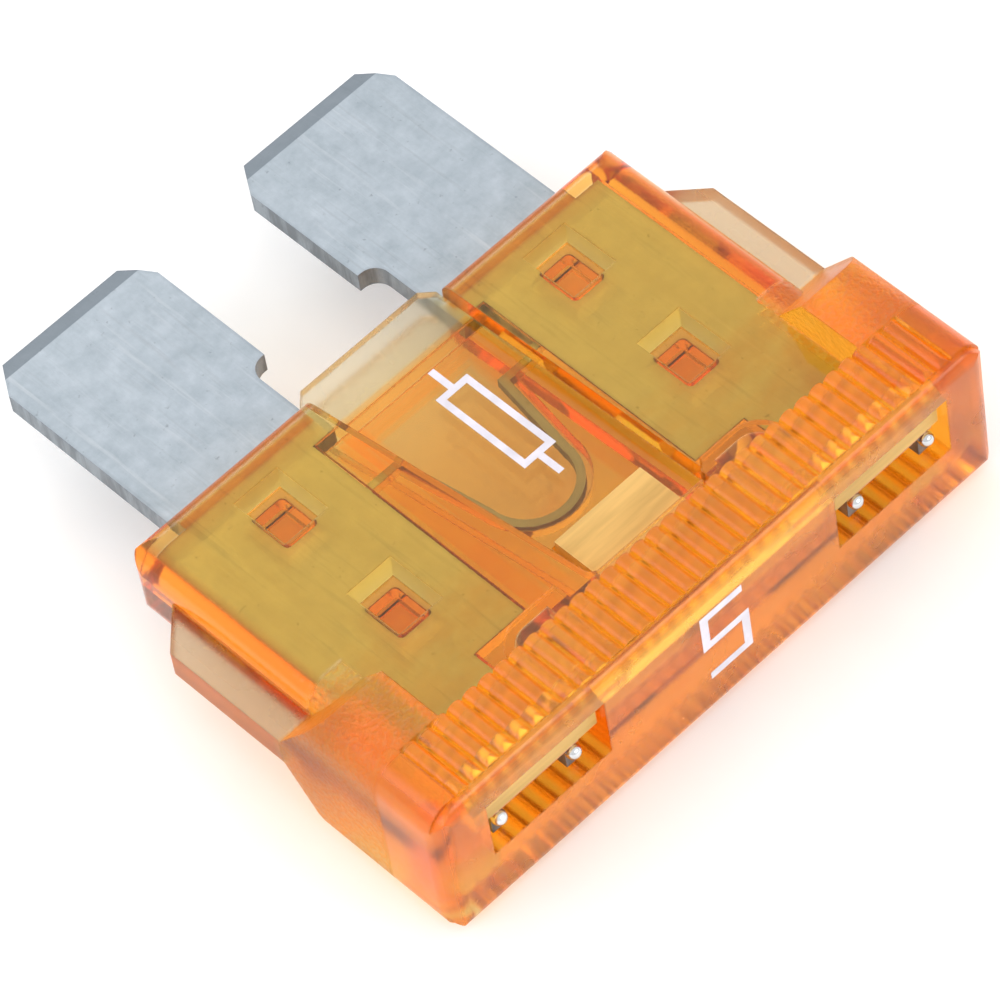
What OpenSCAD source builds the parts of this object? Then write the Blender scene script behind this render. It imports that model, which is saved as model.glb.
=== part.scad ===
// Regular size automotive blade fuse with a see-through housing, lying on its back.
// +X runs across the width, +Y towards the blade tips and +Z out of the front face.
// The origin is under the middle of the part's outline, on the plane that the head rests on.

/* [Head] */
// How far each end of the head stands out past the body
head_out = 1.05; // [0.8:0.05:1.2]
// Thickness of the head, front to back
head_t = 5.1; // [4.9:0.1:5.6]
// Length of the ribbed part of the head
head_l = 2.25; // [2.1:0.05:2.6]
// Length of the shoulders at the two ends of the head
shoulder_l = 4.2; // [3.8:0.05:4.4]
// Width of each shoulder
shoulder_w = 2.3; // [1.8:0.05:2.5]
// Length of the slope from a shoulder down to the side flange
shoulder_slope = 1.6; // [1:0.1:1.8]
// Rounding of the head's long corners
head_r = 0.85; // [0.6:0.05:1]
// Rounding of the edge around the end face
end_r = 0.55; // [0.3:0.05:0.65]

/* [Grip ribs] */
// Distance from one rib to the next
rib_pitch = 0.52; // [0.48:0.01:0.6]
// Smooth strip between the last ribs and the ends of the head
rib_margin = 0.95; // [0.8:0.05:1.5]
// Smooth strip between the end face and the ribs
rib_start = 0.34; // [0.25:0.01:0.6]

/* [Lamp hood] */
// Wall at the outer side of each of the two raised hoods beside the recess
hood_wall = 0.3; // [0.25:0.05:0.5]
// Distance from the end face to the hoods' ends
hood_l = 3.3; // [3.2:0.05:3.6]
// Outer corner radius of the hoods
hood_r = 1.0; // [0.7:0.05:1.1]
// Height of the clear space over the board in each hood
hood_room = 0.4; // [0.2:0.05:0.45]
// Wall over and around the space for the parts on the board
inner_wall = 0.25; // [0.2:0.05:0.3]
// Corner radius of that space
lamp_room_r = 0.7; // [0.4:0.1:0.9]

/* [Body] */
// Wall between the metal and the side of the body
side_wall = 0.8; // [0.6:0.05:1.2]
// Thickness of the body
body_t = 2.8; // [2.7:0.05:3.2]
// Distance from the end face to the body's blade end
body_l = 12.3; // [12:0.1:13]
// Rounding of the body's long edges
body_r = 0.8; // [0.5:0.05:0.95]
// Rounding of the body's blade end
body_end_r = 0.4; // [0.2:0.05:0.6]

/* [Side flanges] */
// Thickness of the flange on each side
flange_t = 0.9; // [0.8:0.05:1.2]
// Gap from the body's blade end to the start of the flange
flange_gap = 1.5; // [1:0.1:2.5]

/* [Window recess] */
// Width of the recess in the middle of each face, at the body's blade end
recess_w = 4.8; // [4.4:0.05:4.9]
// Width of the recess beside the head
recess_head_w = 4.1; // [3.8:0.05:4.4]
// Sideways shift of the recess beside the head
recess_shift = 0.6; // [0.3:0.05:0.6]
// Thickness of the web that the recesses leave
web_t = 1.6; // [1.4:0.05:1.8]
// How far the web stands out past the body's blade end
web_out = 0.6; // [0.3:0.05:0.9]
// Corner cut at the web's end
web_cut = 0.35; // [0.2:0.05:0.5]
// Corner radius of the recess beside the head
recess_r = 0.3; // [0.1:0.05:0.5]

/* [Blades] */
// Gap between the two blades
blade_apart = 3.3; // [3:0.1:3.6]
// How much wider each blade is inside the body
inside_step = 0.8; // [0.4:0.05:1]
// Gap from the body's blade end to the wider metal
inside_gap = 0.3; // [0.2:0.05:0.6]
// Width of each blade
blade_w = 5.2; // [5:0.05:5.4]
// Thickness of the metal
blade_t = 0.65; // [0.6:0.01:0.7]
// Length of the blades outside the body
blade_out = 7.4; // [7:0.1:7.7]
// Length of the full width stretch at each tip
blade_wide_l = 4.95; // [4:0.1:5.5]
// Step at the inner edge, down to the neck
neck_step = 0.6; // [0.4:0.05:0.8]
// Inner radius in the corner of that step
neck_r = 0.5; // [0.2:0.05:0.55]
// Further step of the inner edge inside the body
inner_step = 0.75; // [0.4:0.05:0.9]
// Corner cut at the tip, across the blade
tip_cut_x = 0.6; // [0.4:0.01:0.8]
// Corner cut at the tip, along the blade
tip_cut_y = 0.95; // [0.6:0.05:1.1]
// Length of the coined bevel at the tip
coin_l = 0.5; // [0.3:0.05:0.7]
// Thickness of the tip's edge
coin_t = 0.34; // [0.25:0.01:0.45]
// Distance from the end face to the blades' head ends
blade_start = 1.12; // [1.05:0.01:1.2]
// Length of the two contact nibs on each head end
nib_l = 0.7; // [0.5:0.05:0.8]
// Width of a contact nib
nib_w = 0.36; // [0.3:0.02:0.42]
// Distance from a corner of the blade's head end to the middle of the nearer nib
nib_edge = 0.2; // [0.18:0.01:0.3]
// Length of the notch beside the lamp chamber, from the end face
notch_l = 3.9; // [3.7:0.05:4.3]
// Distance between the two notched edges
notch_w = 9.45; // [9.2:0.05:10.2]

/* [Fusible link] */
// Width of the link's strip
link_w = 0.24; // [0.2:0.02:0.4]
// Thickness of the link's strip
link_t = 0.3; // [0.2:0.02:0.4]
// Outer radius of the link's bend
link_r = 1.45; // [1.3:0.05:1.5]
// Distance from the end face to the outside of the bend
link_low = 5.4; // [5.2:0.05:5.9]
// Distance from the body's blade end to the link's feet on the blades
link_back = 2.9; // [2.1:0.1:3.2]
// How far each leg leans out on its way to the foot
link_lean = 0.45; // [0.2:0.05:0.5]

/* [Link chamber] */
// Clear space beside the link
link_room = 0.2; // [0.15:0.05:0.3]
// Height of the chamber, front to back
chamber_t = 0.5; // [0.44:0.02:0.7]
// Depth of the wider mouth of the chamber, at the body's blade end
mouth_l = 0.85; // [0.4:0.05:1.2]

/* [Stake pits] */
// Distance from a blade's inner edge to the middle of its pits
pit_in = 3.4; // [3.2:0.05:3.8]
// Distance from the end face to the first row of pits
pit_near = 6.25; // [5.9:0.05:6.6]
// Distance from the body's blade end to the second row of pits
pit_back = 1.97; // [1.7:0.05:2.4]
// Width of a pit's mouth
pit_w = 1.5; // [1.3:0.05:1.7]
// Length of a pit's mouth
pit_l = 1.85; // [1.7:0.05:2.1]
// Width of a pit's floor and of the hole through the blade
stake_w = 1.1; // [1:0.02:1.2]
// Length of a pit's floor and of the hole through the blade
stake_l = 1.4; // [1.3:0.05:1.6]
// Corner radius of the holes
stake_r = 0.15; // [0.1:0.01:0.2]
// Depth of a pit
pit_depth = 0.45; // [0.3:0.05:0.8]

/* [Test slots] */
// Width of a slot
slot_w = 4.0; // [3.8:0.05:4.3]
// Height of a slot
slot_h = 2.05; // [1.8:0.05:2.1]
// How far a slot's middle is set in from the middle of the metal's head end
slot_in = 0.2; // [0:0.05:0.3]
// Height of the slots' middle over the blades' middle
slot_up = 0.6; // [0.4:0.05:0.7]

/* [Indicator] */
// How far the board reaches past the metal on each side
board_over = 0.3; // [0.1:0.05:0.5]
// Shift of the board to one side
board_shift = -0.2; // [-0.3:0.05:0]
// How far the board's lugs reach past the contact nibs, towards the end face
board_lap = 0.11; // [0.05:0.01:0.2]
// Length of the lugs that stand in the test slots
lug_l = 0.45; // [0.3:0.05:0.6]
// Clear gap at each side of a lug
lug_gap = 0.08; // [0.05:0.01:0.15]
// Depth of the board's bar
board_d = 1.95; // [1.8:0.05:2.1]
// Width of the tab that shows in the recess
tab_w = 3.0; // [2.8:0.05:3.3]
// Shift of the tab to one side
tab_shift = 0.3; // [0:0.05:0.4]
// Length of the tab
tab_l = 1.9; // [1.5:0.05:2]
// Thickness of the board
board_t = 0.5; // [0.45:0.05:0.6]
// Gap between the blades and the board
board_gap = 0.25; // [0.1:0.01:0.28]
// Thickness of the copper tracks under the board
track_t = 0.05; // [0.03:0.01:0.06]
// Diameter of a solder bead
bead_d = 0.44; // [0.44:0.02:0.54]
// Depth of the lamp
lamp_d = 0.6; // [0.5:0.05:0.7]
// Height of the lamp
lamp_h = 0.3; // [0.2:0.05:0.35]
// Length of each lamp terminal
lamp_term = 0.25; // [0.2:0.05:0.3]
// Gap at both ends of the lamp and of the series resistor, in their space under the board
parts_room = 0.2; // [0.1:0.05:0.3]
// Depth of the series resistor
resistor_d = 0.8; // [0.7:0.05:0.9]
// Height of the series resistor
resistor_h = 0.4; // [0.3:0.05:0.45]
// Length of each resistor end cap
resistor_cap = 0.3; // [0.2:0.05:0.4]

/* [Fits] */
// Clear gap between the metal and the housing
fit = 0.05; // [0.03:0.01:0.06]
// Clear gap between the indicator and the housing
board_fit = 0.06; // [0.04:0.01:0.1]

/* [Hidden] */
$fn = 48;
mid = head_t / 2;
slack = 0.01;
far = 40;
blade_span = blade_apart + 2 * blade_w;
inside_span = blade_span + 2 * inside_step;
body_w = inside_span + 2 * (fit + side_wall);
head_w = body_w + 2 * head_out;
blade_tip = body_l + blade_out;
centre = blade_tip / 2;
rib_r = rib_pitch / 2;
rib_count = floor((head_w - 2 * rib_margin) / rib_pitch);
rib_field = rib_count * rib_pitch;
neck_in = blade_apart / 2 + neck_step;
inner_in = neck_in + inner_step;
link_foot = body_l - link_back;
pit_x = blade_apart / 2 + pit_in;
pit_far = body_l - pit_back;
board_low = blade_t / 2 + board_gap;
board_top = board_low + board_t;
nib_end = blade_start - nib_l;
nib_x = (notch_w + inside_span) / 4;
nib_gap = (inside_span - notch_w) / 2 - 2 * nib_edge;
board_w = inside_span + 2 * board_over;
lug_end = nib_end - board_lap;
board_start = lug_end + lug_l;
board_y = board_start + board_d / 2;
tab_end = board_start + board_d + tab_l;
track_w = nib_gap + bead_d;
chamber_r = link_r + link_room;
chamber_low = link_low - link_room;
lamp_room_w = notch_w - 2 * fit - 2 * inner_wall;
hood_w = lamp_room_w + 2 * hood_wall;
lamp_room_end = hood_l - inner_wall;
lamp_room_top = board_top + hood_room + board_fit;
recess_start = board_start + board_d + board_fit + inner_wall;
room_in = recess_head_w / 2 + recess_shift + inner_wall;
parts_x = (room_in + lamp_room_w / 2) / 2;
parts_w = lamp_room_w / 2 - room_in - 2 * parts_room;
slot_x = nib_x - slot_in;
inner_stop = body_l - mouth_l;
corner_r = min(neck_r, neck_step - slack);

// Outline in X and Z, drawn about the middle of the thickness and run along Y
module along_y(y0, y1) {
    translate([0, y1 - centre, mid]) rotate([90, 0, 0]) linear_extrude(y1 - y0) children();
}

// Outline in Y and Z, drawn about the middle of the thickness and run along X
module along_x(x0, x1) {
    translate([x0, -centre, mid]) rotate([90, 0, 90]) linear_extrude(x1 - x0) children();
}

// Outline in X and Y, from one height to another over the middle of the thickness
module along_z(z0, z1) {
    translate([0, -centre, mid + z0]) linear_extrude(z1 - z0) children();
}

// Rectangle about the origin with round corners
module round_rect(w, h, r) {
    square([w - 2 * r, h], center = true);
    square([w, h - 2 * r], center = true);
    for (sx = [-1, 1], sy = [-1, 1]) translate([sx * (w / 2 - r), sy * (h / 2 - r)]) circle(r);
}

// Rectangle between two distances from the end face, with round corners at the low end only
module low_round_rect(w, y0, y1, r) {
    translate([-w / 2, y0 + r]) square([w, y1 - y0 - r]);
    translate([-w / 2 + r, y0]) square([w - 2 * r, r + slack]);
    for (s = [-1, 1]) translate([s * (w / 2 - r), y0 + r]) circle(r);
}

// The same with the round corners at the high end
module high_round_rect(w, y0, y1, r) {
    translate([0, y0 + y1]) mirror([0, 1]) low_round_rect(w, y0, y1, r);
}

module both_sides() {
    children();
    mirror([1, 0, 0]) children();
}

// Head section: plain round ends with a row of half round ribs between them on both faces
module head_section() {
    difference() {
        round_rect(head_w, head_t, head_r);
        for (s = [-1, 1]) translate([-rib_field / 2, s > 0 ? mid - rib_r : -mid - far])
            square([rib_field, far + rib_r]);
    }
    for (s = [-1, 1], i = [0 : rib_count - 1])
        translate([(i - (rib_count - 1) / 2) * rib_pitch, s * (mid - rib_r)]) circle(rib_r);
}

module head_block() {
    intersection() {
        union() {
            along_y(0, rib_start) round_rect(head_w, head_t - rib_r, head_r);
            along_y(rib_start - slack, head_l) head_section();
        }
        along_x(-far, far) translate([far / 2, 0]) round_rect(far, head_t, end_r);
        along_z(-far, far) low_round_rect(head_w, 0, far, end_r);
    }
}

// Shoulder at one end of the head, sloping down to the side flange
module shoulder() {
    slope_end = shoulder_l + shoulder_slope;
    intersection() {
        along_x(head_w / 2 - shoulder_w, head_w / 2) polygon([
            [head_l - slack, -mid], [shoulder_l, -mid], [slope_end, -flange_t / 2],
            [slope_end, flange_t / 2], [shoulder_l, mid], [head_l - slack, mid]]);
        along_y(0, far) round_rect(head_w, head_t, head_r);
    }
}

module body_block() {
    intersection() {
        along_y(head_l / 2, body_l) round_rect(body_w, body_t, body_r);
        along_x(-far, far) translate([body_l - far / 2, 0]) round_rect(far, body_t, body_end_r);
        along_z(-far, far) high_round_rect(body_w, 0, body_l, body_end_r);
    }
}

// Flat flange along one side, with its blade end cut at 45 degrees
module flange() {
    start = body_l - flange_gap;
    along_z(-flange_t / 2, flange_t / 2) polygon([
        [body_w / 2 - body_r, shoulder_l], [head_w / 2, shoulder_l], [head_w / 2, start - head_out],
        [body_w / 2, start], [body_w / 2 - body_r, start]]);
}

// Web between the two recesses, which stands out between the blades
module web() {
    end = body_l + web_out;
    along_z(-web_t / 2, web_t / 2) polygon([
        [-recess_w / 2, recess_start], [recess_w / 2, recess_start], [recess_w / 2, end - web_cut],
        [recess_w / 2 - web_cut, end], [web_cut - recess_w / 2, end], [-recess_w / 2, end - web_cut]]);
}

// Recess of each face, which leans to one side on its way to the head
module recess() {
    left = recess_shift - recess_head_w / 2;
    right = recess_shift + recess_head_w / 2;
    for (s = [0, 1]) translate([0, 0, s * head_t]) mirror([0, 0, s]) along_z(web_t / 2, far) {
        polygon([
            [left + recess_r, recess_start], [right - recess_r, recess_start], [right, recess_start + recess_r],
            [recess_w / 2, body_l + slack], [-recess_w / 2, body_l + slack], [left, recess_start + recess_r]]);
        for (x = [left + recess_r, right - recess_r]) translate([x, recess_start + recess_r]) circle(recess_r);
    }
}

// Pair of raised hoods over the board, one on each side of the recess
module hoods() {
    along_z(0, lamp_room_top + inner_wall) difference() {
        high_round_rect(hood_w, head_l - hood_r, hood_l, hood_r);
        square([recess_w, far], center = true);
    }
}

// One stake pit on each face, narrowing towards its floor
module stake_pit(y) {
    top = body_t / 2;
    low = top - pit_depth;
    for (s = [0, 1]) translate([0, 0, s * head_t]) mirror([0, 0, s]) intersection() {
        along_y(y - pit_l, y + pit_l) pit_section(pit_x, stake_w, pit_w, low, top);
        along_x(pit_x - pit_w, pit_x + pit_w) pit_section(y, stake_l, pit_l, low, top);
    }
}

module pit_section(at, foot, mouth, low, top) {
    polygon([[at - foot / 2, low], [at + foot / 2, low], [at + mouth / 2, top],
             [at + mouth / 2, far], [at - mouth / 2, far], [at - mouth / 2, top]]);
}

// Solid post between two pits, through the hole in the blade
module stake_post(y) {
    translate([pit_x, y, 0]) along_z(-body_t / 2 + pit_depth / 2, body_t / 2 - pit_depth / 2)
        round_rect(stake_w - 2 * fit, stake_l - 2 * fit, stake_r);
}

// Outline of one blade with its neck, its notch and its corner cuts
module blade_outline() {
    difference() {
        polygon(concat(
            blade_tip_points(blade_apart / 2, blade_span / 2, blade_tip - blade_wide_l),
            blade_foot_points(0)));
        translate([neck_in - corner_r, blade_tip - blade_wide_l - corner_r]) circle(corner_r);
    }
}

// Corners of the bare end of a blade, between its inner and its outer edge
function blade_tip_points(inner, outer, wide) = [
    [inside_span / 2, body_l - inside_gap], [outer, body_l - inside_gap],
    [outer, blade_tip - tip_cut_y], [outer - tip_cut_x, blade_tip],
    [inner + tip_cut_x, blade_tip], [inner, blade_tip - tip_cut_y],
    [inner, wide], [neck_in - corner_r, wide],
    [neck_in - corner_r, wide - corner_r], [neck_in, wide - corner_r]];

// Corners of the rest of the blade, from its neck round to its outer edge
function blade_foot_points(gap) = [
    [neck_in - gap, inner_stop - gap], [inner_in - gap, inner_stop - gap],
    [inner_in - gap, notch_l - gap], [notch_w / 2 - gap, notch_l - gap],
    [notch_w / 2 - gap, blade_start - gap], [inside_span / 2 + gap, blade_start - gap]];

module nib_outline(gap = 0) {
    for (s = [-1, 1]) translate([nib_x + s * nib_gap / 2 - nib_w / 2 - gap, nib_end - gap])
        square([nib_w + 2 * gap, nib_l + gap + slack]);
}

module link_leg(w, room) {
    polygon([
        [link_r - w - room, link_low + link_r - slack], [link_r + room, link_low + link_r - slack],
        [link_r + link_lean + room, link_foot + w], [link_r - w + link_lean - room, link_foot + w]]);
}

// Outline of the link: a round bend, two leaning legs and a foot on each blade
module link_outline() {
    intersection() {
        translate([0, link_low + link_r]) difference() {
            circle(link_r);
            circle(link_r - link_w);
        }
        translate([-link_r, link_low]) square([2 * link_r, link_r]);
    }
    both_sides() {
        link_leg(link_w, 0);
        translate([link_r + link_lean - link_w, link_foot])
            square([inner_in - link_r - link_lean + link_w + slack, link_w]);
    }
}

// Wedge that thins one face of the blade tips
module coin_wedge() {
    drop = (blade_t - coin_t) / 2;
    along_x(-far, far) polygon([
        [blade_tip - coin_l, blade_t / 2], [blade_tip + slack, blade_t / 2 - drop],
        [blade_tip + slack, blade_t], [blade_tip - coin_l, blade_t]]);
}

// Thin space around the link, open towards the blade end so that the link can slide in
module link_chamber() {
    along_z(-chamber_t / 2, chamber_t / 2) {
        translate([0, chamber_low + chamber_r]) circle(chamber_r);
        translate([-chamber_r, chamber_low + chamber_r])
            square([2 * chamber_r, link_foot - chamber_low - chamber_r]);
        both_sides() link_leg(link_w, link_room);
        translate([-inner_in, link_foot - fit]) square([2 * inner_in, far]);
    }
}

// Flat space that the blades slide into from the open blade end
module blade_cavity() {
    difference() {
        along_z(-blade_t / 2 - fit, blade_t / 2 + fit) both_sides() {
            polygon(concat(
                [[inside_span / 2 + fit, far], [0, far], [0, inner_stop - fit]],
                blade_foot_points(fit)));
            nib_outline(fit);
        }
        both_sides() {
            stake_post(pit_near);
            stake_post(pit_far);
        }
    }
}

// Outline of the board: a bar across both blades and a tab in the recess
module board_outline(gap = 0) {
    translate([board_shift - board_w / 2 - gap, board_start - gap])
        square([board_w + 2 * gap, board_d + 2 * gap]);
    translate([tab_shift - tab_w / 2 - gap, board_y])
        square([tab_w + 2 * gap, tab_end - board_y + gap]);
}

// Lugs of the board that stand in the two test slots
module board_lugs() {
    for (s = [-1, 1]) translate([s * slot_x - slot_w / 2 + lug_gap, lug_end])
        square([slot_w - 2 * lug_gap, lug_l + board_d / 2]);
}

// Space for the board and the parts on it, open to the recess over the tab
module lamp_room() {
    along_z(board_low - track_t - board_fit, board_top + board_fit) board_outline(board_fit);
    along_z(-blade_t / 2 - fit, board_top + board_fit) lamp_room_outline();
    along_z(board_top, lamp_room_top) difference() {
        lamp_room_outline();
        square([2 * room_in, far], center = true);
    }
    along_z(board_low - board_fit, far) intersection() {
        board_outline(board_fit);
        translate([-recess_w / 2, recess_start]) square([recess_w, far]);
    }
}

module lamp_room_outline() {
    high_round_rect(lamp_room_w, blade_start - fit, lamp_room_end, lamp_room_r);
}

module test_slot() {
    along_z(slot_up - slot_h / 2, slot_up + slot_h / 2) translate([slot_x - slot_w / 2, -far])
        square([slot_w, far + blade_start - slack]);
}

module housing() {
    color([0.93, 0.45, 0.1]) difference() {
        union() {
            difference() {
                union() {
                    head_block();
                    body_block();
                    hoods();
                    both_sides() {
                        shoulder();
                        flange();
                    }
                }
                recess();
            }
            web();
        }
        both_sides() {
            stake_pit(pit_near);
            stake_pit(pit_far);
            test_slot();
        }
        link_chamber();
        blade_cavity();
        lamp_room();
    }
}

module blade_stamping() {
    color([0.76, 0.81, 0.84]) {
        difference() {
            along_z(-blade_t / 2, blade_t / 2) both_sides() {
                difference() {
                    blade_outline();
                    for (y = [pit_near, pit_far])
                        translate([pit_x, y]) round_rect(stake_w, stake_l, stake_r);
                }
                nib_outline();
            }
            coin_wedge();
            translate([0, 0, head_t]) mirror([0, 0, 1]) coin_wedge();
        }
        along_z(-link_t / 2, link_t / 2) link_outline();
    }
}

module indicator_board() {
    color([0.93, 0.8, 0.5]) along_z(board_low, board_top) {
        board_outline();
        board_lugs();
    }
}

module board_tracks() {
    color([0.72, 0.45, 0.2]) along_z(board_low - track_t, board_low) both_sides()
        translate([nib_x - track_w / 2, lug_end]) square([track_w, lug_l + board_d]);
}

// Lamp and resistor side by side on the underside of the board
module lamp_block() {
    color([0.95, 0.78, 0.45]) along_z(board_low - lamp_h, board_low)
        translate([-parts_x, board_y]) square([parts_w - 2 * lamp_term, lamp_d], center = true);
}

module lamp_terminals() {
    color([0.82, 0.82, 0.84]) for (s = [-1, 1]) along_z(board_low - lamp_h, board_low)
        translate([-parts_x + s * (parts_w - lamp_term) / 2, board_y])
        square([lamp_term, lamp_d], center = true);
}

module series_resistor() {
    color([0.1, 0.1, 0.12]) along_z(board_low - resistor_h, board_low)
        translate([parts_x, board_y]) square([parts_w - 2 * resistor_cap, resistor_d], center = true);
}

module resistor_caps() {
    color([0.82, 0.82, 0.84]) for (s = [-1, 1]) along_z(board_low - resistor_h, board_low)
        translate([parts_x + s * (parts_w - resistor_cap) / 2, board_y])
        square([resistor_cap, resistor_d], center = true);
}

// Beads that join the contact nibs to the board, cut flat where they wet both
module solder_beads() {
    color([0.85, 0.86, 0.88]) both_sides() for (s = [-1, 1])
        translate([nib_x + s * nib_gap / 2, -centre, 0]) difference() {
            translate([0, nib_end - bead_d / 4, mid + board_low - track_t - bead_d / 2]) sphere(bead_d / 2);
            translate([-far / 2, nib_end, 0]) cube([far, far, mid + blade_t / 2]);
        }
}

housing();
blade_stamping();
indicator_board();
board_tracks();
lamp_block();
lamp_terminals();
series_resistor();
resistor_caps();
solder_beads();
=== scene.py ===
"""Looks of the automotive blade fuse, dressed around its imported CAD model."""
import math

import bmesh
import bpy
from mathutils import Matrix, Vector


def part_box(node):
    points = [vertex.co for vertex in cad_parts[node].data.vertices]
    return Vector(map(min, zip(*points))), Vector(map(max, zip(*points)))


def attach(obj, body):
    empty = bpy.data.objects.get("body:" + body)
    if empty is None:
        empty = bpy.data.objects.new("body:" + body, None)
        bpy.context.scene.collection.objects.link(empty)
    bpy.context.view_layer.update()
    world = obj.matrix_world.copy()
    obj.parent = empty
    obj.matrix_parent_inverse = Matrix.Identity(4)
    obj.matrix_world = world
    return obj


MM = 0.001
BODY = "root"

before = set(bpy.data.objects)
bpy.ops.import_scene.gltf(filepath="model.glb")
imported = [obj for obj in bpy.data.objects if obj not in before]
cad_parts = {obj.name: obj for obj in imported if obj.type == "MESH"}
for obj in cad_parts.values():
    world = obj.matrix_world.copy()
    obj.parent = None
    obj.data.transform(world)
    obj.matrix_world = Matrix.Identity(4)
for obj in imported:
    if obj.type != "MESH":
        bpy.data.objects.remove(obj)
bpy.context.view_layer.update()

# Places of the main forms, from the frame
HOUSING_LOW, HOUSING_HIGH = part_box("housing")
METAL_LOW, METAL_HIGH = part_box("blade_stamping")
MID = (METAL_LOW[2] + METAL_HIGH[2]) / 2
WEB_T = 1.6 * MM
INK_T = 0.012 * MM
NUMBER_LINE = 0.26 * MM
SYMBOL_LINE = 0.2 * MM
RIB_END = 2.25 * MM
SLOPE_END = 5.8 * MM
PIT_X = 5.05 * MM
PIT_NEAR = 6.25 * MM
PIT_FAR = 10.33 * MM
BODY_TOP = 1.4 * MM
COIN_L = 0.5 * MM
LINK_OUT = 2.6 * MM
LINK_END = 9.8 * MM
WINDOW_START = 11.4 * MM
RECESS_START = 3.0 * MM
BODY_END = 12.3 * MM
BODY_SIDE = 8.5 * MM
RIM_W = 0.28 * MM
RECESS_OUT = 2.45 * MM
PIT_FLOOR = 0.95 * MM
BEVEL_SAMPLES = 2

# Camera, fitted to the photograph
VIEW_AZIMUTH = -35.885
VIEW_ELEVATION = 53.832
VIEW_ROLL = -10.582
VIEW_DISTANCE = 173.454 * MM
VIEW_FOCAL_PX = 6946.43
VIEW_SHIFT = (0.063 * MM, -0.900 * MM)
AIM = Vector((0.0, HOUSING_LOW[1] + 8.0 * MM, MID))
PHOTO_PX = 1000
SENSOR_MM = 36.0


def view_axes():
    """Right, up and backward directions of the camera."""
    a, e, r = (math.radians(v) for v in (VIEW_AZIMUTH, VIEW_ELEVATION, VIEW_ROLL))
    back = Vector((math.sin(a) * math.cos(e), -math.cos(a) * math.cos(e), math.sin(e)))
    right = Vector((0, 0, 1)).cross(back).normalized()
    up = back.cross(right)
    turned_right = right * math.cos(r) + up * math.sin(r)
    turned_up = up * math.cos(r) - right * math.sin(r)
    return turned_right, turned_up, back


def add_camera():
    right, up, back = view_axes()
    data = bpy.data.cameras.new("camera")
    data.sensor_width = SENSOR_MM
    data.lens = VIEW_FOCAL_PX / PHOTO_PX * SENSOR_MM
    data.clip_start = 1 * MM
    data.clip_end = 10.0
    camera = bpy.data.objects.new("camera", data)
    place = AIM + back * VIEW_DISTANCE + right * VIEW_SHIFT[0] + up * VIEW_SHIFT[1]
    turn = Matrix((right, up, back)).transposed()
    camera.matrix_world = Matrix.Translation(place) @ turn.to_4x4()
    bpy.context.scene.collection.objects.link(camera)
    bpy.context.scene.camera = camera


def add_light(name, place, aim, size, power):
    data = bpy.data.lights.new(name, "AREA")
    data.shape = "RECTANGLE"
    data.size, data.size_y = size
    data.energy = power
    lamp = bpy.data.objects.new(name, data)
    way = Vector(aim) - Vector(place)
    lamp.location = place
    lamp.rotation_euler = way.to_track_quat("-Z", "Y").to_euler()
    bpy.context.scene.collection.objects.link(lamp)


def add_studio():
    world = bpy.data.worlds.new("studio")
    world.use_nodes = True
    background = world.node_tree.nodes["Background"]
    background.inputs["Color"].default_value = (1.0, 1.0, 1.0, 1.0)
    background.inputs["Strength"].default_value = 0.9
    bpy.context.scene.world = world
    bpy.context.scene.view_settings.view_transform = "Standard"
    add_light("softbox_left", (-0.12, 0.02, 0.10), AIM, (0.10, 0.10), 0.06)
    add_light("softbox_far", (0.03, 0.13, 0.12), AIM, (0.12, 0.06), 0.05)
    add_light("softbox_front", (0.03, -0.15, 0.09), AIM, (0.12, 0.06), 0.08)
    bounce_count = 12
    bpy.context.scene.cycles.max_bounces = bounce_count
    bpy.context.scene.cycles.transmission_bounces = bounce_count


def add_floor():
    half = 2.0
    mesh = bpy.data.meshes.new("floor")
    mesh.from_pydata([(-half, -half, 0), (half, -half, 0), (half, half, 0), (-half, half, 0)], [], [(0, 1, 2, 3)])
    floor = bpy.data.objects.new("floor", mesh)
    bpy.context.scene.collection.objects.link(floor)
    mesh.materials.append(floor_paper())


# Node helpers
def new_material(name):
    material = bpy.data.materials.new(name)
    material.use_nodes = True
    nodes = material.node_tree.nodes
    return material, nodes, material.node_tree.links, nodes["Principled BSDF"]


def object_coords(nodes):
    return nodes.new("ShaderNodeTexCoord").outputs["Object"]


def feed(links, value, socket):
    """Give a socket a number, a colour or another socket's output."""
    if isinstance(value, tuple):
        socket.default_value = (*value, 1.0)
    elif isinstance(value, float):
        socket.default_value = value
    else:
        links.new(value, socket)


def noise(nodes, links, coords, scale, detail=3.0, rough=0.5):
    node = nodes.new("ShaderNodeTexNoise")
    feed(links, scale, node.inputs["Scale"])
    node.inputs["Detail"].default_value = detail
    node.inputs["Roughness"].default_value = rough
    links.new(coords, node.inputs["Vector"])
    return node.outputs["Fac"]


def ramp(nodes, links, value, stops):
    node = nodes.new("ShaderNodeValToRGB")
    bar = node.color_ramp
    while len(bar.elements) < len(stops):
        bar.elements.new(0.5)
    for element, (place, colour) in zip(bar.elements, stops):
        element.position = place
        element.color = (*colour, 1.0)
    links.new(value, node.inputs["Fac"])
    return node.outputs["Color"]


def span(nodes, links, value, low, high, to_low, to_high):
    node = nodes.new("ShaderNodeMapRange")
    for name, number in (("From Min", low), ("From Max", high), ("To Min", to_low), ("To Max", to_high)):
        node.inputs[name].default_value = number
    links.new(value, node.inputs["Value"])
    return node.outputs["Result"]


def stretched(nodes, links, coords, scale):
    node = nodes.new("ShaderNodeMapping")
    node.inputs["Scale"].default_value = scale
    links.new(coords, node.inputs["Vector"])
    return node.outputs["Vector"]


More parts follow.
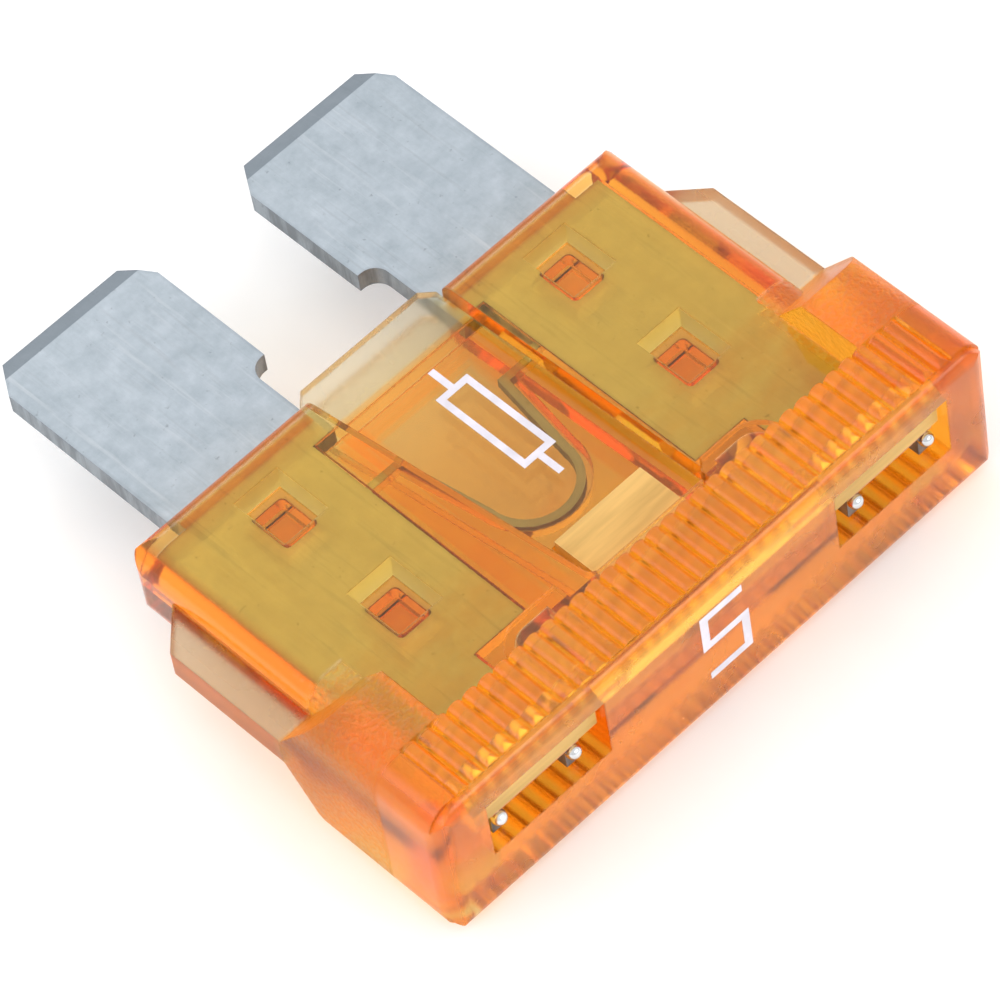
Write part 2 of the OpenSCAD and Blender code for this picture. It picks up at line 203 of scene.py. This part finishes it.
def bump(nodes, links, height, strength, distance, normal=None):
    node = nodes.new("ShaderNodeBump")
    node.inputs["Strength"].default_value = strength
    node.inputs["Distance"].default_value = distance
    links.new(height, node.inputs["Height"])
    if normal is not None:
        links.new(normal, node.inputs["Normal"])
    return node.outputs["Normal"]


def mixed(nodes, links, amount, one, two):
    """Colour one turned into colour two by the amount."""
    node = nodes.new("ShaderNodeMix")
    node.data_type = "RGBA"
    for value, name in ((amount, "Factor_Float"), (one, "A_Color"), (two, "B_Color")):
        feed(links, value, next(i for i in node.inputs if i.identifier == name))
    return next(o for o in node.outputs if o.identifier == "Result_Color")


# Shared effects, built once and placed in each material that has them
def new_group(name, inputs, outputs):
    """An empty node group with named sockets; gives its nodes, its links, and its inner ends."""
    group = bpy.data.node_groups.new(name, "ShaderNodeTree")
    for way, sockets in (("INPUT", inputs), ("OUTPUT", outputs)):
        for label, kind in sockets:
            group.interface.new_socket(label, in_out=way, socket_type="NodeSocket" + kind)
    start = group.nodes.new("NodeGroupInput")
    end = group.nodes.new("NodeGroupOutput")
    return group, start.outputs, end.inputs


def cloud_group():
    """A cloudy change of colour and gloss over a surface."""
    group, given, result = new_group(
        "cloud", [("Coordinates", "Vector"), ("Scale", "Float"), ("Dark", "Color"), ("Light", "Color"),
                  ("Smooth", "Float"), ("Rough", "Float")],
        [("Color", "Color"), ("Roughness", "Float")])
    nodes, links = group.nodes, group.links
    cloud = noise(nodes, links, given["Coordinates"], given["Scale"])
    amount = span(nodes, links, cloud, 0.35, 0.65, 0.0, 1.0)
    links.new(mixed(nodes, links, amount, given["Dark"], given["Light"]), result["Color"])
    gap = in_order(nodes, links, "SUBTRACT", given["Rough"], given["Smooth"])
    rise = in_order(nodes, links, "MULTIPLY", gap, span(nodes, links, cloud, 0.3, 0.7, 0.0, 1.0))
    links.new(in_order(nodes, links, "ADD", given["Smooth"], rise), result["Roughness"])
    return group


def edge_wear_group():
    """A worn colour along sharp edges, where the rounded normal leaves the true one."""
    group, given, result = new_group(
        "edge_wear", [("Color", "Color"), ("Worn Color", "Color"), ("Radius", "Float"), ("Amount", "Float")],
        [("Color", "Color"), ("Mask", "Float")])
    nodes, links = group.nodes, group.links
    edge = nodes.new("ShaderNodeBevel")
    edge.samples = BEVEL_SAMPLES
    links.new(given["Radius"], edge.inputs["Radius"])
    match = nodes.new("ShaderNodeVectorMath")
    match.operation = "DOT_PRODUCT"
    links.new(edge.outputs["Normal"], match.inputs[0])
    links.new(nodes.new("ShaderNodeNewGeometry").outputs["Normal"], match.inputs[1])
    mask = span(nodes, links, match.outputs["Value"], 0.8, 0.99, 1.0, 0.0)
    amount = in_order(nodes, links, "MULTIPLY", mask, given["Amount"])
    links.new(mixed(nodes, links, amount, given["Color"], given["Worn Color"]), result["Color"])
    links.new(mask, result["Mask"])
    return group


def placed(nodes, links, group, **values):
    """A group set in a material, with its inputs by name."""
    node = nodes.new("ShaderNodeGroup")
    node.node_tree = group
    for label, value in values.items():
        feed(links, value, node.inputs[label.replace("_", " ").title()])
    return node.outputs


def floor_paper():
    material, nodes, links, shader = new_material("floor_paper")
    grain = noise(nodes, links, object_coords(nodes), 900.0)
    links.new(ramp(nodes, links, grain, [(0.3, (0.93, 0.93, 0.93)), (0.7, (0.95, 0.95, 0.95))]),
              shader.inputs["Base Color"])
    shader.inputs["Roughness"].default_value = 0.9
    shader.inputs["Emission Color"].default_value = (1.0, 1.0, 1.0, 1.0)
    shader.inputs["Emission Strength"].default_value = 0.12
    return material


def in_order(nodes, links, kind, one, two):
    node = nodes.new("ShaderNodeMath")
    node.operation = kind
    for value, socket in zip((one, two), node.inputs):
        feed(links, value, socket)
    return node.outputs["Value"]


def band(nodes, links, value, low, high, soft):
    """One between two values, nought outside, with soft ends."""
    rise = span(nodes, links, value, low - soft, low, 0.0, 1.0)
    fall = span(nodes, links, value, high, high + soft, 1.0, 0.0)
    return in_order(nodes, links, "MULTIPLY", rise, fall)


def split_places(nodes, links, coords):
    """Distance out from the middle, distance from the end face and height over the blades' middle."""
    split = nodes.new("ShaderNodeSeparateXYZ")
    links.new(coords, split.inputs["Vector"])
    out = in_order(nodes, links, "ABSOLUTE", split.outputs["X"], 0.0)
    along = in_order(nodes, links, "SUBTRACT", split.outputs["Y"], HOUSING_LOW[1])
    height = in_order(nodes, links, "SUBTRACT", split.outputs["Z"], MID)
    return out, along, height


def shoulder_mask(nodes, links, out, along):
    """One on the grained shoulders at the two ends of the head."""
    side = band(nodes, links, out, 7.3 * MM, 12.0 * MM, 0.1 * MM)
    return in_order(nodes, links, "MULTIPLY", side, band(nodes, links, along, RIB_END, SLOPE_END, 0.1 * MM))


def pit_mask(nodes, links, out, along, height, low, high):
    """One in the stake pits, between two heights over the blades' middle."""
    side = band(nodes, links, out, PIT_X - 0.8 * MM, PIT_X + 0.8 * MM, 0.02 * MM)
    near = band(nodes, links, along, PIT_NEAR - MM, PIT_NEAR + MM, 0.02 * MM)
    far = band(nodes, links, along, PIT_FAR - MM, PIT_FAR + MM, 0.02 * MM)
    rows = in_order(nodes, links, "MAXIMUM", near, far)
    lift = in_order(nodes, links, "ABSOLUTE", height, 0.0)
    return times(nodes, links, side, rows, band(nodes, links, lift, low, high, 0.01 * MM))


def times(nodes, links, *values):
    """Product of several values."""
    result = values[0]
    for value in values[1:]:
        result = in_order(nodes, links, "MULTIPLY", result, value)
    return result


def less(nodes, links, value):
    """One less a value."""
    return in_order(nodes, links, "SUBTRACT", 1.0, value)


def thin_masks(nodes, links, out, along):
    """One on the side flanges, and one on the window between the blades."""
    flange = times(nodes, links, band(nodes, links, out, 8.55 * MM, 12.0 * MM, 0.02 * MM),
                   band(nodes, links, along, SLOPE_END, 12.0 * MM, 0.02 * MM))
    window = times(nodes, links, band(nodes, links, out, -MM, RECESS_OUT, 0.02 * MM),
                   band(nodes, links, along, WINDOW_START, 14.0 * MM, 0.1 * MM))
    return flange, window


def rim_mask(nodes, links, out, along):
    """One along the outline of the body's top faces, where a painted orange edge stands for the walls below seen
    through it.
    """
    end = times(nodes, links, band(nodes, links, along, BODY_END - RIM_W, BODY_END + RIM_W, 0.1 * MM),
                band(nodes, links, out, RECESS_OUT, BODY_SIDE, 0.02 * MM))
    side = times(nodes, links, band(nodes, links, out, BODY_SIDE - RIM_W, BODY_SIDE, 0.1 * MM),
                 band(nodes, links, along, SLOPE_END, BODY_END, 0.1 * MM))
    return in_order(nodes, links, "MAXIMUM", end, side)


def wall_masks(nodes, links):
    """One on rounded edges, and one on upright walls."""
    turn = nodes.new("ShaderNodeSeparateXYZ")
    links.new(nodes.new("ShaderNodeTexCoord").outputs["Normal"], turn.inputs["Vector"])
    sides = [in_order(nodes, links, "ABSOLUTE", turn.outputs[axis], 0.0) for axis in "XYZ"]
    most = in_order(nodes, links, "MAXIMUM", in_order(nodes, links, "MAXIMUM", sides[0], sides[1]), sides[2])
    rounded = span(nodes, links, most, 0.82, 0.98, 1.0, 0.0)
    return rounded, span(nodes, links, sides[2], 0.3, 0.7, 1.0, 0.0)


def amber_colour(nodes, links, places, masks, grain, flow):
    """Nearly clear on flat faces; painted deeper orange on rounded edges and upright walls, for light that runs a
    long way through the plastic there, with a little painted glow on them.
    """
    out, along, height = places
    matt, walls, face = masks
    rounded, upright = wall_masks(nodes, links)
    flange, window = thin_masks(nodes, links, out, along)
    deep = in_order(nodes, links, "MAXIMUM", rounded,
                    times(nodes, links, upright, 0.85))
    clear = times(nodes, links, window, upright, 0.85)
    deep = times(nodes, links, deep, less(nodes, links, face), less(nodes, links, matt), less(nodes, links, walls),
                 less(nodes, links, clear))
    head = band(nodes, links, along, -MM, SLOPE_END, 0.3 * MM)
    # Painted light: edges and walls deeper orange, redder on the thick head, for light that runs far through the
    # plastic.
    painted_edge_orange = mixed(nodes, links, head, (1.0, 0.34, 0.05), (1.0, 0.60, 0.14))
    colour = mixed(nodes, links, deep, (1.0, 0.95, 0.91), painted_edge_orange)
    flat = less(nodes, links, upright)
    colour = mixed(nodes, links, times(nodes, links, flange, flat), colour, (0.72, 0.68, 0.97))
    colour = mixed(nodes, links, times(nodes, links, window, flat), colour, (0.90, 0.90, 1.0))
    floor = times(nodes, links, band(nodes, links, out, -MM, 2.35 * MM, 0.05 * MM),
                  band(nodes, links, along, RECESS_START, WINDOW_START, 0.1 * MM), flat)
    colour = mixed(nodes, links, floor, colour, (0.93, 0.84, 0.70))
    # Painted light: an orange line round the body's top faces, for the walls below seen through them.
    colour = mixed(nodes, links, times(nodes, links, rim_mask(nodes, links, out, along), flat), colour,
                   (1.0, 0.50, 0.14))
    # Painted light: an orange band along the sides of the recess floor and across it where the window starts, for
    # the walls' orange light showing through; it is also given painted glow below.
    painted_border = in_order(nodes, links, "MAXIMUM", band(nodes, links, out, 1.9 * MM, RECESS_OUT, 0.15 * MM),
                      band(nodes, links, along, 10.95 * MM, WINDOW_START, 0.1 * MM))
    painted_border = times(nodes, links, painted_border, floor)
    colour = mixed(nodes, links, painted_border, colour, (1.0, 0.62, 0.22))
    posts = pit_mask(nodes, links, out, along, height, PIT_FLOOR - 0.1 * MM, PIT_FLOOR + 0.02 * MM)
    colour = mixed(nodes, links, times(nodes, links, posts, flat), colour, (1.0, 0.52, 0.22))
    swirl = times(nodes, links, head, span(nodes, links, flow, 0.42, 0.62, 0.0, 0.6))
    colour = mixed(nodes, links, swirl, colour, (1.0, 0.74, 0.50))
    pebble = times(nodes, links, matt, span(nodes, links, grain, 0.42, 0.6, 0.0, 0.8))
    colour = mixed(nodes, links, pebble, colour, (1.0, 0.66, 0.26))
    # Painted glow: orange emission on the pit floors, the shoulders, the recess floor's sides and the deep edges and
    # walls, weaker on the head.
    lit = in_order(nodes, links, "MAXIMUM", times(nodes, links, posts, 0.8), times(nodes, links, matt, 0.45))
    lit = in_order(nodes, links, "MAXIMUM", lit, times(nodes, links, painted_border, 0.5))
    lit = times(nodes, links, in_order(nodes, links, "MAXIMUM", deep, lit),
                less(nodes, links, times(nodes, links, head, 0.3)))
    glow = mixed(nodes, links, lit, (0.0, 0.0, 0.0), (1.0, 0.30, 0.02))
    return colour, glow


def amber_normal(nodes, links, height, walls, matt, grain):
    """Soft sharp edges, grained shoulders, and pit walls that bend what lies under them no more than a flat face."""
    edge = nodes.new("ShaderNodeBevel")
    edge.inputs["Radius"].default_value = 0.08 * MM
    edge.samples = BEVEL_SAMPLES
    rough = times(nodes, links, grain, in_order(nodes, links, "ADD", matt, 0.05))
    bent = bump(nodes, links, rough, 0.8, 0.05 * MM, edge.outputs["Normal"])
    up = nodes.new("ShaderNodeCombineXYZ")
    links.new(in_order(nodes, links, "SIGN", height, 0.0), up.inputs["Z"])
    node = nodes.new("ShaderNodeMix")
    node.data_type = "VECTOR"
    links.new(times(nodes, links, walls, 0.75), next(i for i in node.inputs if i.identifier == "Factor_Float"))
    links.new(bent, next(i for i in node.inputs if i.identifier == "A_Vector"))
    links.new(up.outputs["Vector"], next(i for i in node.inputs if i.identifier == "B_Vector"))
    return next(o for o in node.outputs if o.identifier == "Result_Vector")


def amber_plastic():
    material, nodes, links, shader = new_material("amber_plastic")
    coords = object_coords(nodes)
    places = split_places(nodes, links, coords)
    out, along, height = places
    grain = noise(nodes, links, coords, 7000.0)
    matt = shoulder_mask(nodes, links, out, along)
    walls = pit_mask(nodes, links, out, along, height, PIT_FLOOR + 0.03 * MM, BODY_TOP - 0.01 * MM)
    face = band(nodes, links, along, -MM, 0.02 * MM, 0.02 * MM)
    flow = noise(nodes, links, stretched(nodes, links, coords, (450.0, 900.0, 900.0)), 1.0, 4.0, 0.6)
    colour, glow = amber_colour(nodes, links, places, (matt, walls, face), grain, flow)
    links.new(colour, shader.inputs["Base Color"])
    links.new(glow, shader.inputs["Emission Color"])
    # Strength of the painted glow.
    shader.inputs["Emission Strength"].default_value = 0.09
    shader.inputs["Transmission Weight"].default_value = 1.0
    shader.inputs["IOR"].default_value = 1.5
    polish = span(nodes, links, noise(nodes, links, coords, 700.0), 0.35, 0.7, 0.04, 0.10)
    head = times(nodes, links, band(nodes, links, along, -MM, RIB_END, 0.1 * MM), 0.13)
    ends = times(nodes, links, band(nodes, links, out, 9.3 * MM, 12.0 * MM, 0.1 * MM), 0.12)
    flange, window = thin_masks(nodes, links, out, along)
    frost = times(nodes, links, in_order(nodes, links, "MAXIMUM", flange, window), 0.2)
    dull = times(nodes, links, in_order(nodes, links, "MAXIMUM", matt, walls), 0.3)
    for part in (head, times(nodes, links, face, 0.06), ends, frost, dull):
        polish = in_order(nodes, links, "ADD", polish, part)
    links.new(polish, shader.inputs["Roughness"])
    links.new(amber_normal(nodes, links, height, walls, matt, grain), shader.inputs["Normal"])
    inside = nodes.new("ShaderNodeVolumeAbsorption")
    inside.inputs["Color"].default_value = (0.994, 0.84, 0.09, 1.0)
    inside.inputs["Density"].default_value = 1000.0
    output = nodes["Material Output"]
    links.new(inside.outputs["Volume"], output.inputs["Volume"])
    clear = nodes.new("ShaderNodeBsdfTransparent")
    clear.inputs["Color"].default_value = (1.0, 0.93, 0.8, 1.0)
    path = nodes.new("ShaderNodeLightPath")
    mix = nodes.new("ShaderNodeMixShader")
    links.new(path.outputs["Is Shadow Ray"], mix.inputs["Fac"])
    links.new(shader.outputs["BSDF"], mix.inputs[1])
    links.new(clear.outputs["BSDF"], mix.inputs[2])
    links.new(mix.outputs["Shader"], output.inputs["Surface"])
    return material


def plated_metal():
    material, nodes, links, shader = new_material("plated_metal")
    coords = object_coords(nodes)
    out, along, height = split_places(nodes, links, coords)
    mottle = noise(nodes, links, coords, 1500.0, 7.0, 0.7)
    colour = ramp(nodes, links, mottle, [(0.3, (0.33, 0.38, 0.42)), (0.7, (0.45, 0.50, 0.55))])
    fresh = band(nodes, links, along, 0.0, BODY_END, 0.1 * MM)
    colour = mixed(nodes, links, times(nodes, links, fresh, 0.45), colour, (0.66, 0.66, 0.62))
    specks = span(nodes, links, noise(nodes, links, coords, 4200.0, 3.0, 0.6), 0.66, 0.74, 0.0, 0.55)
    colour = mixed(nodes, links, specks, colour, (0.20, 0.22, 0.24))
    rub = noise(nodes, links, stretched(nodes, links, coords, (5200.0, 260.0, 900.0)), 1.0, 5.0, 0.6)
    colour = mixed(nodes, links, span(nodes, links, rub, 0.58, 0.75, 0.0, 0.45), colour, (0.62, 0.66, 0.70))
    colour = mixed(nodes, links, span(nodes, links, rub, 0.27, 0.44, 0.4, 0.0), colour, (0.24, 0.26, 0.28))
    # Painted shade: the coined ends of the blades darkened, dimming the bright surroundings they reflect.
    shaded_tip = band(nodes, links, along, METAL_HIGH[1] - HOUSING_LOW[1] - COIN_L, 1.0, 0.02 * MM)
    colour = mixed(nodes, links, in_order(nodes, links, "MULTIPLY", shaded_tip, 0.7), colour, (0.15, 0.18, 0.21))
    turn = nodes.new("ShaderNodeSeparateXYZ")
    links.new(nodes.new("ShaderNodeTexCoord").outputs["Normal"], turn.inputs["Vector"])
    level = in_order(nodes, links, "ABSOLUTE", turn.outputs["Z"], 0.0)
    sheared = span(nodes, links, level, 0.3, 0.6, 1.0, 0.0)
    tear = noise(nodes, links, stretched(nodes, links, coords, (2600.0, 2600.0, 500.0)), 1.0, 4.0, 0.6)
    rip = in_order(nodes, links, "MULTIPLY", sheared, span(nodes, links, tear, 0.4, 0.6, 0.35, 0.9))
    colour = mixed(nodes, links, rip, colour, (0.16, 0.18, 0.20))
    colour = placed(nodes, links, EDGE_WEAR, color=colour, worn_color=(0.19, 0.22, 0.26),
                    radius=0.16 * MM, amount=0.5)["Color"]
    # Painted shade: the metal round the link in the middle darkened brown, as if in shadow.
    middle = in_order(nodes, links, "MULTIPLY", band(nodes, links, out, -MM, LINK_OUT, 0.05 * MM),
                      band(nodes, links, along, MM, LINK_END, 0.05 * MM))
    colour = mixed(nodes, links, in_order(nodes, links, "MULTIPLY", middle, 0.55), colour, (0.28, 0.23, 0.18))
    links.new(colour, shader.inputs["Base Color"])
    shader.inputs["Metallic"].default_value = 0.75
    links.new(span(nodes, links, rub, 0.3, 0.7, 0.4, 0.55), shader.inputs["Roughness"])
    relief = in_order(nodes, links, "ADD", rub, in_order(nodes, links, "MULTIPLY", sheared, tear))
    links.new(bump(nodes, links, relief, 0.2, 0.02 * MM), shader.inputs["Normal"])
    return material


def cream_board():
    material, nodes, links, shader = new_material("cream_board")
    weave = noise(nodes, links, stretched(nodes, links, object_coords(nodes), (300.0, 3000.0, 3000.0)), 1.0, 4.0)
    colour = ramp(nodes, links, weave, [(0.35, (0.56, 0.34, 0.09)), (0.65, (0.76, 0.47, 0.14))])
    worn = placed(nodes, links, EDGE_WEAR, color=colour, worn_color=(0.84, 0.60, 0.25), radius=0.06 * MM, amount=0.5)
    links.new(worn["Color"], shader.inputs["Base Color"])
    shader.inputs["Roughness"].default_value = 0.5
    return material


def plain(name, colour, metallic, rough_low, rough_high, scale):
    material, nodes, links, shader = new_material(name)
    cloud = placed(nodes, links, CLOUD, coordinates=object_coords(nodes), scale=scale, light=colour,
                   dark=tuple(c * 0.85 for c in colour), smooth=rough_low, rough=rough_high)
    links.new(cloud["Color"], shader.inputs["Base Color"])
    shader.inputs["Metallic"].default_value = metallic
    links.new(cloud["Roughness"], shader.inputs["Roughness"])
    return material


def dress(node, material):
    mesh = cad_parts[node].data
    mesh.materials.clear()
    mesh.materials.append(material)


# White marks, drawn as strokes of one width with mitred corners
def stroke_mark(name, strokes, width, place, material):
    """A flat curve for each stroke, made a thin mesh; place turns a point of the drawing into one of the part."""
    vertices, faces = [], []
    for points, closed in strokes:
        ring = [Vector(p) for p in points]
        count = len(ring)
        left, right = [], []
        for i, point in enumerate(ring):
            before = ring[i - 1] if (i > 0 or closed) else point
            after = ring[(i + 1) % count] if (i < count - 1 or closed) else point
            one = (point - before).normalized() if (point - before).length > 0 else (after - point).normalized()
            two = (after - point).normalized() if (after - point).length > 0 else one
            way = (one + two).normalized()
            side = Vector((-way.y, way.x))
            reach = width / 2 / max(0.5, side.dot(Vector((-one.y, one.x))))
            left.append(point + side * reach)
            right.append(point - side * reach)
        base = len(vertices)
        for a, b in zip(left, right):
            for lift in (0.0, INK_T):
                vertices.append(place(a, lift))
                vertices.append(place(b, lift))
        steps = count if closed else count - 1
        for i in range(steps):
            p, q = base + 4 * i, base + 4 * ((i + 1) % count)
            faces += [(p + 2, p + 3, q + 3, q + 2), (p, q, q + 1, p + 1),
                      (p, p + 2, q + 2, q), (p + 1, q + 1, q + 3, p + 3)]
        if not closed:
            last = base + 4 * (count - 1)
            faces += [(base, base + 1, base + 3, base + 2), (last, last + 2, last + 3, last + 1)]
    mesh = bpy.data.meshes.new(name)
    mesh.from_pydata([tuple(v) for v in vertices], [], faces)
    shape = bmesh.new()
    shape.from_mesh(mesh)
    bmesh.ops.recalc_face_normals(shape, faces=shape.faces)
    shape.to_mesh(mesh)
    shape.free()
    mesh.materials.append(material)
    piece = bpy.data.objects.new(name, mesh)
    bpy.context.scene.collection.objects.link(piece)
    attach(piece, BODY)
    return piece


def rating_five(material):
    """The number 5 on the end face, read with the front face up."""
    half, top, middle, low = 0.66 * MM, 1.42 * MM, 0.3 * MM, -0.95 * MM
    strokes = [([(half, top), (-half, top), (-half, middle), (half, middle), (half, low), (-half, low)], False)]
    stroke_mark("rating_number", strokes, NUMBER_LINE,
                lambda p, lift: (p.x + 0.05 * MM, HOUSING_LOW[1] - lift, MID + p.y), material)


def fuse_symbol(material):
    """A plain fuse symbol in the recess: a long box with a line from each end."""
    middle, half_w, half_l, lead = HOUSING_LOW[1] + 8.5 * MM, 0.45 * MM, 1.5 * MM, 0.75 * MM
    edge = half_l + SYMBOL_LINE / 2
    box = [(half_w, half_l), (-half_w, half_l), (-half_w, -half_l), (half_w, -half_l)]
    lines = [([(0.0, s * edge), (0.0, s * (edge + lead))], False) for s in (-1, 1)]
    stroke_mark("recess_symbol", [(box, True)] + lines, SYMBOL_LINE,
                lambda p, lift: (p.x + 0.55 * MM, middle + p.y, MID + WEB_T / 2 + lift), material)


CLOUD = cloud_group()
EDGE_WEAR = edge_wear_group()

add_camera()
add_studio()
add_floor()

white = plain("white_mark", (0.80, 0.76, 0.84), 0.0, 0.4, 0.6, 2000.0)
dress("housing", amber_plastic())
dress("blade_stamping", plated_metal())
dress("indicator_board", cream_board())
dress("board_tracks", plain("copper", (0.72, 0.38, 0.18), 1.0, 0.25, 0.4, 1500.0))
dress("lamp_block", plain("lamp_resin", (0.80, 0.50, 0.18), 0.0, 0.2, 0.35, 1500.0))
dress("series_resistor", plain("dark_ceramic", (0.05, 0.05, 0.06), 0.0, 0.3, 0.5, 1500.0))
solder = plain("solder", (0.80, 0.81, 0.83), 1.0, 0.12, 0.3, 2500.0)
for name in ("lamp_terminals", "resistor_caps", "solder_beads"):
    dress(name, solder)
rating_five(white)
fuse_symbol(white)
